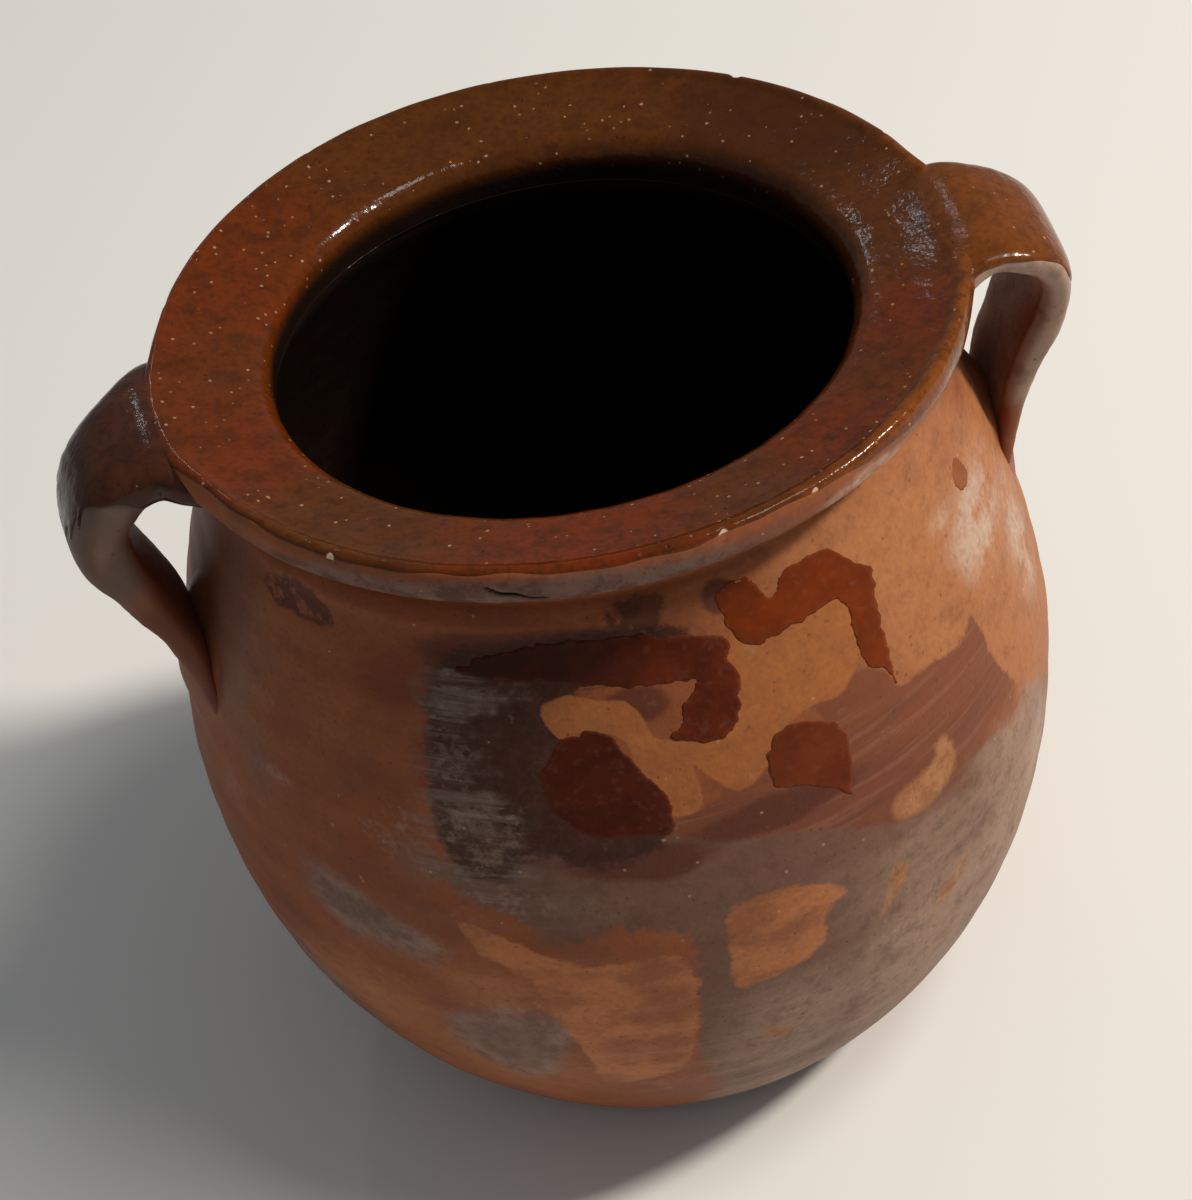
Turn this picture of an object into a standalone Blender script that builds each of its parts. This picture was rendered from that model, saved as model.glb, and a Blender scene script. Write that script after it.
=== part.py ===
"""Two-handled clay storage jar, built from its thrown, pulled, luted and glazed pieces.

The jar stands on its flat base with its axis on +Z. The front of the jar faces -Y, and the two
strap handles stand at its sides, along X. Every size below is in metres.
"""
import math
from collections import namedtuple

import bmesh
import bpy
from mathutils import Matrix
from mathutils import Vector

MM = 0.001

# Thrown body
JAR_HEIGHT = 161 * MM
BASE_RADIUS = 52 * MM
BELLY_RADIUS = 81 * MM
BELLY_HEIGHT = 80 * MM
NECK_RADIUS = 61.5 * MM
WALL = 6.5 * MM
FLOOR = 8 * MM
FOOT_CHAMFER = 1.5 * MM
INNER_CORNER = 10 * MM
LOWER_FULLNESS = 2.4
SHOULDER_FULLNESS = 1.52

# Rim
RIM_RADIUS = 70 * MM
RIM_DEPTH = 11.5 * MM
RIM_EDGE = 6 * MM
RIM_DISH = 3.2 * MM
RIM_EDGE_ROUND = 1.5 * MM
MOUTH_RADIUS = 51 * MM
MOUTH_ROUND = 4 * MM

# Handles: each one's turn about the axis, how far it stands out from the rim, the size of its strap, and how far
# below the rim's top it bends and ends
LEFT_TURN = math.radians(188)
LEFT_STANDOFF = 19.6 * MM
LEFT_STRAP_WIDTH = 23 * MM
LEFT_STRAP_THICKNESS = 9 * MM
LEFT_BEND_DROP = 16.5 * MM
LEFT_FOOT_DROP = 51 * MM
RIGHT_TURN = math.radians(-2.5)
RIGHT_STANDOFF = 18 * MM
RIGHT_STRAP_WIDTH = 26 * MM
RIGHT_STRAP_THICKNESS = 6.4 * MM
RIGHT_BEND_DROP = 12.5 * MM
RIGHT_FOOT_DROP = 44 * MM
ROOT_COVER = 2.2 * MM
ROOT_BURY = 10 * MM
FOOT_BURY = 6 * MM
ROOT_FLARE = 1.2

# Luting clay round the ends of the handles
ROOT_LUTE_OUT = 8 * MM
ROOT_LUTE_SPREAD = 6 * MM
ROOT_LUTE_RISE = 2.6 * MM
FOOT_LUTE_OUT = 4 * MM
FOOT_LUTE_SPREAD = 4.5 * MM
FOOT_LUTE_LENGTH = 37 * MM

# Glaze coats and the gap kept between pieces that touch
GLAZE = 0.6 * MM
CLEARANCE = 0.3 * MM
GLAZE_LINE_DROP = 14 * MM
SPILL_CUT_DEPTH = 12 * MM

# Glaze spilled on the shoulder: where each spill's middle is, as its turn about the axis and its drop
# below the neck's top, and its outline's points in millimetres across and up from that middle
SHOULDER_SPILL = {
    "turn": math.radians(-97),
    "drop": 18.5 * MM,
    "outline": [(-23, 5), (-4, 9.5), (13, 7), (18.5, 5), (19, -1), (18, -7), (14.5, -10),
                (10, -9.5), (6.5, -6), (-3, 0.5), (-22, 0)],
}
BELLY_SPILL = {
    "turn": math.radians(-98.5),
    "drop": 36.5 * MM,
    "outline": [(-6.5, 8), (-1, 8.5), (3.5, 5), (9, 1), (8, -3), (2, -8), (-5, -8.5), (-9, -1.5)],
}
ARCH_RUN = {
    "turn": math.radians(-67),
    "drop": 18.5 * MM,
    "outline": [(-12.5, 6), (-8.5, 11), (-5, 7), (0.5, 10), (7.5, 9.5), (14.5, 2.5), (12, -4.5),
                (9.5, -15.5), (5.5, -9.5), (6.5, -2), (4.5, 3), (-4, 2.5), (-11.5, 2)],
}
BLOCK_RUN = {
    "turn": math.radians(-73),
    "drop": 40.5 * MM,
    "outline": [(-5.5, 8.5), (-1, 10), (6.5, 5.5), (6, -1), (6, -9), (-4, -4), (-11.5, 2.5), (-7.5, 3)],
}
SIDE_DROPLET = {
    "turn": math.radians(-30),
    "drop": 19 * MM,
    "outline": [(1, 3), (3.4, -2), (-1, -3), (-3.5, 0)],
}

# Facets
TURN_STEPS = 40
WALL_POINTS = 9
ARC_POINTS = 3
STRAP_SIDES = 4
STRAP_RINGS = 4
LUTE_SEGMENTS = 16
LUTE_RINGS = 10
SPILL_POINTS = 2
MERGE_DISTANCE = 0.00001

# Heights that follow from the sizes above
COAT = CLEARANCE + GLAZE
RIM_TOP = JAR_HEIGHT - COAT
NECK_TOP = RIM_TOP - RIM_DEPTH - CLEARANCE
RIM_BOTTOM = RIM_TOP - RIM_DEPTH
GLAZE_REACH = RIM_RADIUS + LEFT_STANDOFF + RIGHT_STANDOFF

Handle = namedtuple("Handle", "turn standoff width thickness bend_drop foot_drop")
LEFT_HANDLE = Handle(
    LEFT_TURN, LEFT_STANDOFF, LEFT_STRAP_WIDTH, LEFT_STRAP_THICKNESS, LEFT_BEND_DROP, LEFT_FOOT_DROP)
RIGHT_HANDLE = Handle(
    RIGHT_TURN, RIGHT_STANDOFF, RIGHT_STRAP_WIDTH, RIGHT_STRAP_THICKNESS, RIGHT_BEND_DROP, RIGHT_FOOT_DROP)

# Colour and roughness of each finish
CLAY = (0.36, 0.17, 0.095), 0.85
PULLED_CLAY = (0.33, 0.155, 0.09), 0.7
LUTE_CLAY = (0.30, 0.15, 0.09), 0.75
DARK_GLAZE = (0.035, 0.018, 0.012), 0.2
HONEY_GLAZE = (0.19, 0.095, 0.04), 0.2


def clear_scene():
    for item in list(bpy.data.objects):
        bpy.data.objects.remove(item, do_unlink=True)


def new_collection(name):
    collection = bpy.data.collections.new(name)
    bpy.context.scene.collection.children.link(collection)
    return collection


def new_material(name, finish):
    colour, roughness = finish
    material = bpy.data.materials.new(name)
    material.use_nodes = True
    shader = material.node_tree.nodes["Principled BSDF"]
    shader.inputs["Base Color"].default_value = (*colour, 1.0)
    shader.inputs["Roughness"].default_value = roughness
    shader.inputs["Metallic"].default_value = 0.0
    return material


def add_object(name, data, collection):
    item = bpy.data.objects.new(name, data)
    collection.objects.link(item)
    return item


def add_piece(name, data, finish, parent=None):
    piece = add_object(name, data, PIECES)
    piece.data.materials.clear()
    piece.data.materials.append(new_material(name, finish))
    piece.parent = parent
    return piece


def add_cutter(name, data, parent=None):
    cutter = add_object(name, data, CUTTERS)
    cutter.parent = parent
    cutter.hide_render = True
    cutter.display_type = "WIRE"
    return cutter


def boolean(piece, cutter, operation):
    modifier = piece.modifiers.new(cutter.name, "BOOLEAN")
    modifier.operation = operation
    modifier.solver = "EXACT"
    modifier.object = cutter


def profile_mesh(name, profile, closed):
    """Edges through (radius, height) points, standing in the XZ plane."""
    mesh = bpy.data.meshes.new(name)
    count = len(profile)
    edges = [(index, index + 1) for index in range(count - 1)]
    if closed:
        edges.append((count - 1, 0))
    mesh.from_pydata([(radius, 0, height) for radius, height in profile], edges, [])
    return mesh


def turn(item):
    """Spin the item's profile about Z."""
    screw = item.modifiers.new("turned", "SCREW")
    screw.axis = "Z"
    screw.steps = TURN_STEPS
    screw.render_steps = TURN_STEPS
    screw.use_merge_vertices = True
    screw.merge_threshold = MERGE_DISTANCE
    screw.use_smooth_shade = True


def offset(profile, distance):
    """Move an open profile to the left of its direction by the distance, with mitred corners."""
    points = [Vector(point) for point in profile]
    normals = []
    for start, end in zip(points, points[1:]):
        along = (end - start).normalized()
        normals.append(Vector((-along.y, along.x)))
    moved = []
    for index, point in enumerate(points):
        before = normals[max(index - 1, 0)]
        after = normals[min(index, len(normals) - 1)]
        middle = (before + after).normalized()
        moved.append(tuple(point + middle * distance / middle.dot(before)))
    return moved


def spread(start, end, count):
    return [start + (end - start) * index / (count - 1) for index in range(count)]


def arc(centre, radius, start, end):
    """Points on a quarter arc, with angles in degrees from the outward radius."""
    points = []
    for angle in spread(math.radians(start), math.radians(end), ARC_POINTS):
        points.append((centre[0] + radius * math.cos(angle), centre[1] + radius * math.sin(angle)))
    return points


def wall_radius(height):
    """Outer radius of the thrown wall: full below, drawn in above the belly."""
    if height <= BELLY_HEIGHT:
        share = 1 - (1 - height / BELLY_HEIGHT) ** LOWER_FULLNESS
        return BASE_RADIUS + (BELLY_RADIUS - BASE_RADIUS) * share
    share = ((height - BELLY_HEIGHT) / (NECK_TOP - BELLY_HEIGHT)) ** SHOULDER_FULLNESS
    return BELLY_RADIUS - (BELLY_RADIUS - NECK_RADIUS) * share


def wall_slope(height):
    """Angle by which the wall leans in from upright."""
    step = CLEARANCE
    return math.atan2(wall_radius(height - step) - wall_radius(height + step), 2 * step)


def inner_radius(height):
    """Inner radius of the wall, which thickens towards the neck to meet the mouth."""
    thickness = WALL
    if height > BELLY_HEIGHT:
        rise = (height - BELLY_HEIGHT) / (NECK_TOP - BELLY_HEIGHT)
        thickness += (NECK_RADIUS - MOUTH_RADIUS - WALL) * rise ** 2
    return wall_radius(height) - thickness


def outer_wall(low, high):
    """The outer wall's profile, from the top down."""
    lower = spread(low, BELLY_HEIGHT, WALL_POINTS)
    upper = spread(BELLY_HEIGHT, high, WALL_POINTS)
    heights = lower[:-1] + upper
    return [(wall_radius(height), height) for height in reversed(heights)]


def inner_wall():
    """The inside profile, from the middle of the floor up to the neck."""
    corner_height = FLOOR + INNER_CORNER
    corner_radius = inner_radius(corner_height) - INNER_CORNER
    corner = arc((corner_radius, corner_height), INNER_CORNER, -90, 0)
    lower = spread(corner_height, BELLY_HEIGHT, WALL_POINTS - ARC_POINTS)
    upper = spread(BELLY_HEIGHT, NECK_TOP, WALL_POINTS - ARC_POINTS)
    heights = lower[1:-1] + upper
    return [(0, FLOOR)] + corner + [(inner_radius(height), height) for height in heights]


def rim_top_profile():
    """The rim's glazed side: up the throat, over the mouth's round edge and out along the top."""
    mouth_top = RIM_TOP - RIM_DISH
    rounded = arc((MOUTH_RADIUS + MOUTH_ROUND, mouth_top - MOUTH_ROUND), MOUTH_ROUND, 180, 90)
    outer = (RIM_RADIUS - RIM_EDGE_ROUND, RIM_TOP)
    return [(MOUTH_RADIUS, RIM_BOTTOM)] + rounded + [outer]


def rim_edge_profile():
    """The rim's outer band and its underside, back in to the neck."""
    centre = (RIM_RADIUS - RIM_EDGE_ROUND, RIM_TOP - RIM_EDGE_ROUND)
    band = arc(centre, RIM_EDGE_ROUND, 90, 0)
    under = (RIM_RADIUS - RIM_EDGE_ROUND, RIM_TOP - RIM_EDGE)
    return band + [under, (NECK_RADIUS, RIM_BOTTOM)]


def outer_outline():
    """The closed outside of rim and body, from the axis at the top to the axis at the base."""
    foot = [(BASE_RADIUS - FOOT_CHAMFER, 0), (0, 0)]
    return [(0, RIM_TOP)] + rim_edge_profile() + outer_wall(FOOT_CHAMFER, NECK_TOP) + foot


def make_body():
    foot = [(BASE_RADIUS - FOOT_CHAMFER, 0), (0, 0)]
    profile = inner_wall() + outer_wall(FOOT_CHAMFER, NECK_TOP) + foot
    turn(add_piece("thrown_body", profile_mesh("thrown_body", profile, False), CLAY))


def make_rim():
    profile = rim_top_profile() + rim_edge_profile()[1:]
    turn(add_piece("rim_ring", profile_mesh("rim_ring", profile, True), CLAY))


def coat_profile(profile):
    """A glaze coat's closed profile, a clearance off the clay that it covers."""
    return offset(profile, COAT) + list(reversed(offset(profile, CLEARANCE)))


def make_lining():
    wall = inner_wall()
    top = (inner_radius(NECK_TOP - CLEARANCE), NECK_TOP - CLEARANCE)
    profile = coat_profile(wall[:-1] + [top])
    turn(add_piece("lining_glaze", profile_mesh("lining_glaze", profile, False), DARK_GLAZE))


def make_rim_glaze():
    profile = coat_profile(rim_top_profile())
    turn(add_piece("rim_glaze", profile_mesh("rim_glaze", profile, True), HONEY_GLAZE))


def root_height(handle):
    return RIM_TOP - ROOT_COVER - handle.thickness / 2


def foot_height(handle):
    return RIM_TOP - handle.foot_drop


def strap_path(handle):
    """Centre line of a handle as (radius, height, section scale), from the rim to the wall."""
    middle = RIM_RADIUS + handle.standoff - handle.thickness / 2
    bend = RIM_TOP - handle.bend_drop
    shoulder = (RIM_RADIUS + middle) / 2
    root = root_height(handle)
    foot = foot_height(handle)
    foot_radius = wall_radius(foot)
    buried = foot - handle.width / 2
    return [
        (RIM_RADIUS - ROOT_BURY, root, ROOT_FLARE),
        (shoulder, root, 1),
        (middle, bend, 1),
        ((middle + foot_radius) / 2, (bend + foot) / 2, 1),
        (foot_radius, foot, 1),
        (wall_radius(buried) - FOOT_BURY, buried, 1),
    ]


def strap_mesh(name, handle, growth):
    """The handle's oval strap, grown all round, swept along its path in the XZ plane."""
    half_thickness = handle.thickness / 2 + growth
    half_width = handle.width / 2 + growth
    curve = bpy.data.curves.new(name, "CURVE")
    curve.dimensions = "3D"
    curve.bevel_depth = half_thickness
    curve.bevel_resolution = STRAP_SIDES
    curve.resolution_u = STRAP_RINGS
    curve.use_fill_caps = True
    spline = curve.splines.new("BEZIER")
    path = strap_path(handle)
    spline.bezier_points.add(len(path) - 1)
    for point, (radius, height, scale) in zip(spline.bezier_points, path):
        point.co = (radius, 0, height)
        point.radius = scale
        point.handle_left_type = "AUTO"
        point.handle_right_type = "AUTO"
    tube = add_object(name, curve, CUTTERS)
    mesh = bpy.data.meshes.new_from_object(tube.evaluated_get(bpy.context.evaluated_depsgraph_get()))
    bpy.data.objects.remove(tube)
    mesh.transform(Matrix.Diagonal((1, half_width / half_thickness, 1, 1)))
    weld = bmesh.new()
    weld.from_mesh(mesh)
    bmesh.ops.remove_doubles(weld, verts=weld.verts, dist=MERGE_DISTANCE)
    weld.to_mesh(mesh)
    weld.free()
    return mesh


def lute_mesh(name, out, across, along):
    """A wad of clay: a ball drawn out to its half sizes across X, Y and Z."""
    ball = bmesh.new()
    bmesh.ops.create_uvsphere(ball, u_segments=LUTE_SEGMENTS, v_segments=LUTE_RINGS, radius=1)
    bmesh.ops.scale(ball, vec=(out, across, along), verts=ball.verts)
    mesh = bpy.data.meshes.new(name)
    ball.to_mesh(mesh)
    ball.free()
    return mesh


def make_handle(side, handle, glaze_finish):
    """One strap handle with the luting clay at its two ends and the glaze on its bend."""
    stand = add_object(side + "_handle_stand", None, PIECES)
    stand.rotation_euler.z = handle.turn
    strap = add_piece(side + "_handle", strap_mesh(side + "_handle", handle, 0), PULLED_CLAY, stand)
    boolean(strap, JAR_SPACE, "DIFFERENCE")
    clear_name = side + "_handle_space"
    strap_space = add_cutter(clear_name, strap_mesh(clear_name, handle, CLEARANCE), stand)

    root = lute_mesh(
        side + "_upper_lute",
        ROOT_LUTE_OUT,
        ROOT_FLARE * handle.width / 2 + ROOT_LUTE_SPREAD,
        handle.thickness / 2 + ROOT_LUTE_RISE,
    )
    upper = add_piece(root.name, root, LUTE_CLAY, stand)
    upper.location = (RIM_RADIUS, 0, root_height(handle))

    foot = lute_mesh(
        side + "_lower_lute",
        FOOT_LUTE_OUT,
        handle.width / 2 + FOOT_LUTE_SPREAD,
        FOOT_LUTE_LENGTH / 2,
    )
    lower = add_piece(foot.name, foot, LUTE_CLAY, stand)
    lower.location = (wall_radius(foot_height(handle)), 0, foot_height(handle))
    lower.rotation_euler.y = -wall_slope(foot_height(handle))

    for lute in (upper, lower):
        boolean(lute, JAR_SPACE, "DIFFERENCE")
        boolean(lute, strap_space, "DIFFERENCE")

    name = side + "_handle_glaze"
    glaze = add_piece(name, strap_mesh(name, handle, COAT), glaze_finish, stand)
    boolean(glaze, strap_space, "DIFFERENCE")
    boolean(glaze, GLAZED_SPACE, "INTERSECT")


def make_jar_space():
    """All that the rim and body fill, grown by the clearance."""
    outline = offset(outer_outline(), CLEARANCE)
    cutter = add_cutter("jar_space", profile_mesh("jar_space", outline, False))
    turn(cutter)
    return cutter


def make_glazed_space():
    """The space round the handles' bends, clear of the luting clay and above the glaze line."""
    near = RIM_RADIUS + ROOT_LUTE_OUT + CLEARANCE
    low = RIM_TOP - GLAZE_LINE_DROP
    high = JAR_HEIGHT + RIM_DEPTH
    profile = [(near, low), (near, high), (GLAZE_REACH, high), (GLAZE_REACH, low)]
    cutter = add_cutter("glazed_space", profile_mesh("glazed_space", profile, True))
    turn(cutter)
    return cutter


def make_spill(name, spill):
    """A thin spill of glaze on the wall, cut from a coat by the prism of its outline."""
    profile = coat_profile(outer_wall(FOOT_CHAMFER, NECK_TOP))
    coat = add_piece(name, profile_mesh(name, profile, True), DARK_GLAZE)
    turn(coat)

    curve = bpy.data.curves.new(name + "_outline", "CURVE")
    curve.dimensions = "2D"
    curve.fill_mode = "BOTH"
    curve.extrude = SPILL_CUT_DEPTH
    curve.resolution_u = SPILL_POINTS
    spline = curve.splines.new("BEZIER")
    spline.use_cyclic_u = True
    spline.bezier_points.add(len(spill["outline"]) - 1)
    for point, (across, up) in zip(spline.bezier_points, spill["outline"]):
        point.co = (across * MM, up * MM, 0)
        point.handle_left_type = "AUTO"
        point.handle_right_type = "AUTO"
    flat = add_object(curve.name, curve, CUTTERS)
    mesh = bpy.data.meshes.new_from_object(flat.evaluated_get(bpy.context.evaluated_depsgraph_get()))
    bpy.data.objects.remove(flat)

    height = NECK_TOP - spill["drop"]
    radius = wall_radius(height)
    cutter = add_cutter(name + "_outline", mesh)
    cutter.location = (radius * math.cos(spill["turn"]), radius * math.sin(spill["turn"]), height)
    cutter.rotation_euler = (math.pi / 2, 0, spill["turn"] + math.pi / 2)
    boolean(coat, cutter, "INTERSECT")


clear_scene()
PIECES = new_collection("clay_storage_jar")
CUTTERS = new_collection("cutters")
JAR_SPACE = make_jar_space()
GLAZED_SPACE = make_glazed_space()

make_body()
make_rim()
make_lining()
make_rim_glaze()
make_handle("right", RIGHT_HANDLE, HONEY_GLAZE)
make_handle("left", LEFT_HANDLE, DARK_GLAZE)
make_spill("shoulder_spill", SHOULDER_SPILL)
make_spill("belly_spill", BELLY_SPILL)
make_spill("arch_run", ARCH_RUN)
make_spill("block_run", BLOCK_RUN)
make_spill("side_droplet", SIDE_DROPLET)
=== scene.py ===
"""Looks of the two-handled clay storage jar: smoke-stained terracotta with a glazed rim and spills."""
import math

import bmesh
import bpy
import numpy as np
from mathutils import Matrix
from mathutils import Vector
from mathutils import geometry


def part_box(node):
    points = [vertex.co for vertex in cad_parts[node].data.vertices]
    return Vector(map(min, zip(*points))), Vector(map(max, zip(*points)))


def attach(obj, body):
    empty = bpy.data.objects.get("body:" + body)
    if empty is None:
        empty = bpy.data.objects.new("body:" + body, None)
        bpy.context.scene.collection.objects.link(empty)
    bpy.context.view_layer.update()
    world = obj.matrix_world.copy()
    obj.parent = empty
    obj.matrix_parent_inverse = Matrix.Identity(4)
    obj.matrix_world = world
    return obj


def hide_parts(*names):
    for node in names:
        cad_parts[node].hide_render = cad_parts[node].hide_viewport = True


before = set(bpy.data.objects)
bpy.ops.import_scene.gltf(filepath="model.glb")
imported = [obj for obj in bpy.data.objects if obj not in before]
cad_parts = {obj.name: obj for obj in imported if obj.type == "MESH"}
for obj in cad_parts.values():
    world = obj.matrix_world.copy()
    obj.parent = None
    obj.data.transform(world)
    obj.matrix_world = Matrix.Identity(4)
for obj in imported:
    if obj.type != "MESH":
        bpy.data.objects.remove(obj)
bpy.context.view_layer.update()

MM = 0.001

# Sizes in millimetres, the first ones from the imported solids
BODY_TOP_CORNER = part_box("thrown_body")[1]
BELLY_RADIUS = BODY_TOP_CORNER[0] / MM
NECK_TOP = BODY_TOP_CORNER[2] / MM
BASE_RADIUS = 52
BELLY_HEIGHT = 80
NECK_RADIUS = 61.5
MOUTH_RADIUS = 51
WALL = 6.5
FLOOR = 8
LOWER_FULLNESS = 2.4
SHOULDER_FULLNESS = 1.52

# The thrown wall's unevenness, its neck ridge and its neck groove
OUT_OF_ROUND = 0.35
RING_DEPTH = 0.07
RING_PACE = 0.85
FINE_UNEVENNESS = 0.05
RIDGE_HEIGHT = 143.4
GROOVE_HEIGHT = 146.6

# Camera, fitted to the rim, mouth and outline in the photo
CAMERA_PLACE = (-0.03118, -0.35644, 0.42153)
CAMERA_FORWARD = (0.05905, 0.72994, -0.68096)
CAMERA_ROLL = math.radians(-10.47)
CAMERA_LENS = 78
CAMERA_SENSOR = 36


def ramp(low, high, value):
    """0 at low, 1 at high and a smooth step between, with either of them the larger."""
    share = np.clip((value - low) / (high - low), 0, 1)
    return share * share * (3 - 2 * share)


def waves(seed, turn, height, count, highest, height_pace):
    """Smooth waviness round the jar, from a few sine waves with seeded phases, about -1 to 1."""
    draw = np.random.default_rng(seed)
    total = 0
    for _ in range(count):
        turns = draw.integers(1, highest + 1)
        pace = draw.uniform(-height_pace, height_pace)
        total = total + np.sin(turns * turn + pace * height + draw.uniform(0, 2 * math.pi))
    return total / math.sqrt(count)


def spline(points, per_span):
    """A Catmull-Rom curve through the points, with an even count of samples in each span."""
    points = np.asarray(points, float)
    padded = np.vstack([2 * points[0] - points[1], points, 2 * points[-1] - points[-2]])
    share = np.arange(per_span)[:, None] / per_span
    pieces = []
    for before, start, end, after in zip(padded, padded[1:], padded[2:], padded[3:]):
        a = 2 * start
        b = (end - before) * share
        c = (2 * before - 5 * start + 4 * end - after) * share ** 2
        d = (3 * start - before - 3 * end + after) * share ** 3
        pieces.append((a + b + c + d) / 2)
    return np.vstack(pieces + [points[-1:]])


def joined(*values):
    """Points from their coordinates."""
    return np.stack(values, axis=-1)


def distances(curve):
    """The distance of each point along a curve."""
    return np.concatenate([[0], np.cumsum(np.hypot(*np.diff(curve, axis=0).T[:2]))])


def picked(places, along, columns):
    """Each column's values at the places, from its values along a line."""
    return [np.interp(places, along, column) for column in columns]


def even(curve, count):
    """The curve again, with points at even distances."""
    along = distances(curve)
    return joined(*picked(np.linspace(0, along[-1], count), along, curve.T))


def perpendicular(steps):
    """Directions a quarter turn to the left of flat steps."""
    across, up = (steps / np.hypot(*steps.T)[:, None]).T
    return joined(-up, across)


def around_axis(turn, radius, height):
    """Points in metres from millimetres round the jar's axis."""
    return joined(radius * np.cos(turn), radius * np.sin(turn), height) * MM


def full_turn(steps):
    return np.arange(steps) * 2 * math.pi / steps


def turn_from(turn, degrees):
    """How far a turn lies from an angle given in degrees, in radians, the short way round."""
    return (turn - math.radians(degrees) + math.pi) % (2 * math.pi) - math.pi


def degrees_from(turn, degrees):
    """How far a turn lies from an angle given in degrees, in degrees, the short way round."""
    return (np.degrees(turn) - degrees + 180) % 360 - 180


def grid(first, second):
    return np.meshgrid(first, second, indexing="ij")


# The jar's wall

def shoulder_share(height):
    """0 up to the belly, 1 at the neck."""
    return np.clip((height - BELLY_HEIGHT) / (NECK_TOP - BELLY_HEIGHT), 0, 1)


def wall_radius(height):
    lower_share = 1 - np.clip(1 - height / BELLY_HEIGHT, 0, 1) ** LOWER_FULLNESS
    lower = BASE_RADIUS + (BELLY_RADIUS - BASE_RADIUS) * lower_share
    return lower - (BELLY_RADIUS - NECK_RADIUS) * shoulder_share(height) ** SHOULDER_FULLNESS


def wall_surface(turn, height):
    """Radius of the wall as thrown: a little out of round, with faint rings, a ridge and a groove."""
    radius = wall_radius(height)
    radius = radius + OUT_OF_ROUND * waves(3, turn, height, 5, 3, 0.02)
    rings = np.sin(height * RING_PACE + 0.6 * waves(5, turn, height, 3, 2, 0.01))
    radius = radius + RING_DEPTH * rings * ramp(15, 40, height)
    radius = radius + FINE_UNEVENNESS * waves(7, turn, height, 9, 14, 0.3)
    ridge = (height - RIDGE_HEIGHT - 0.3 * np.sin(turn)) / 1.6
    groove = (height - GROOVE_HEIGHT - 0.2 * np.sin(turn + 1)) / 0.9
    return radius + 0.35 * np.exp(-ridge ** 2) - 0.6 * np.exp(-groove ** 2)


def on_wall(turn, height, lift=0):
    """A point on the wall, in metres, lifted along the radius."""
    return around_axis(turn, wall_surface(turn, height) + lift, height)


# Meshes

def new_object(name, vertices, faces):
    mesh = bpy.data.meshes.new(name)
    mesh.from_pydata([tuple(vertex) for vertex in vertices], [], [tuple(face) for face in faces])
    mesh.validate()
    mesh.update()
    item = bpy.data.objects.new(name, mesh)
    bpy.context.scene.collection.objects.link(item)
    mesh.shade_smooth()
    return item


def grid_faces(rows, columns, wrap_rows=False, wrap_columns=False, flip=False):
    row = np.arange(rows if wrap_rows else rows - 1)
    column = np.arange(columns if wrap_columns else columns - 1)
    row, column = np.meshgrid(row, column, indexing="ij")
    next_row = (row + 1) % rows
    next_column = (column + 1) % columns
    quads = np.stack([
        row * columns + column,
        row * columns + next_column,
        next_row * columns + next_column,
        next_row * columns + column,
    ], axis=-1).reshape(-1, 4)
    return (quads[:, ::-1] if flip else quads).tolist()


def turned(name, profile, steps, shape):
    """Spin a profile that starts and ends on the axis, shaped point by point."""
    turn, index = grid(full_turn(steps), np.arange(len(profile)))
    radius, height = shape(turn, profile[index, 0], profile[index, 1], index)
    points = around_axis(turn, radius, height).reshape(-1, 3)
    item = new_object(name, points, grid_faces(steps, len(profile), wrap_rows=True, flip=True))
    weld(item)
    return item


def weld(item):
    """Join the points that meet on the axis."""
    edit = bmesh.new()
    edit.from_mesh(item.data)
    on_axis = [vertex for vertex in edit.verts if math.hypot(vertex.co.x, vertex.co.y) < 0.00002]
    bmesh.ops.remove_doubles(edit, verts=on_axis, dist=0.00005)
    edit.to_mesh(item.data)
    edit.free()
    item.data.shade_smooth()


def closed_shell(name, top, bottom, faces):
    """A closed solid: an open skin, the same turned over below it, and walls at its open edges."""
    top = top.reshape(-1, 3)
    count = len(top)
    sides = set()
    for face in faces:
        sides.update(zip(face, face[1:] + face[:1]))
    below = [[index + count for index in face[::-1]] for face in faces]
    edges = [(here, there) for here, there in sides if (there, here) not in sides]
    walls = [[there, here, here + count, there + count] for here, there in edges]
    return new_object(name, np.vstack([top, bottom.reshape(-1, 3)]), faces + below + walls)


def finish_piece(item, material, node):
    item.data.materials.append(material)
    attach(item, "root")
    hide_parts(node)


# Marks on the wall, as outlines of (degrees round the jar, height)

TAN_CLAY = [
    (-106.5, 129.5), (-104, 131), (-102, 131.5), (-97.5, 129.5), (-95.5, 129.5), (-94, 127.5),
    (-93, 123), (-91, 121.5), (-86, 119.5), (-83.5, 120), (-82, 121), (-79.5, 128.5), (-80.5, 132),
    (-79, 135.5), (-78, 133.5), (-73.5, 132), (-67, 133), (-64, 134), (-62, 132), (-62.5, 123),
    (-67, 118.5), (-71, 120), (-76.5, 118.5), (-78, 115), (-81, 111), (-84, 110.5), (-89, 119),
    (-88, 109), (-92, 108.5), (-92, 113), (-94.5, 117), (-95.5, 123), (-98, 125.5), (-101, 126),
    (-104.5, 124.5),
]
BROWN_WASH = [
    (-62.5, 120.5), (-60, 118), (-59, 116.5), (-58.5, 113), (-52.5, 112.5), (-47, 110.5), (-45, 111),
    (-43.5, 112), (-43, 115), (-41, 106.5), (-41.5, 104), (-40.5, 100), (-37.5, 91.5), (-35, 87.5),
    (-42.5, 87), (-52, 85.5), (-56, 85.5), (-62, 88.5), (-77, 99), (-88, 103), (-92, 104.5),
    (-92, 108.5), (-87, 109), (-85, 111.5), (-79, 112.5), (-74, 112), (-69.5, 115.5), (-72, 119.5),
    (-67, 118.5), (-64.5, 121),
]
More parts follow.
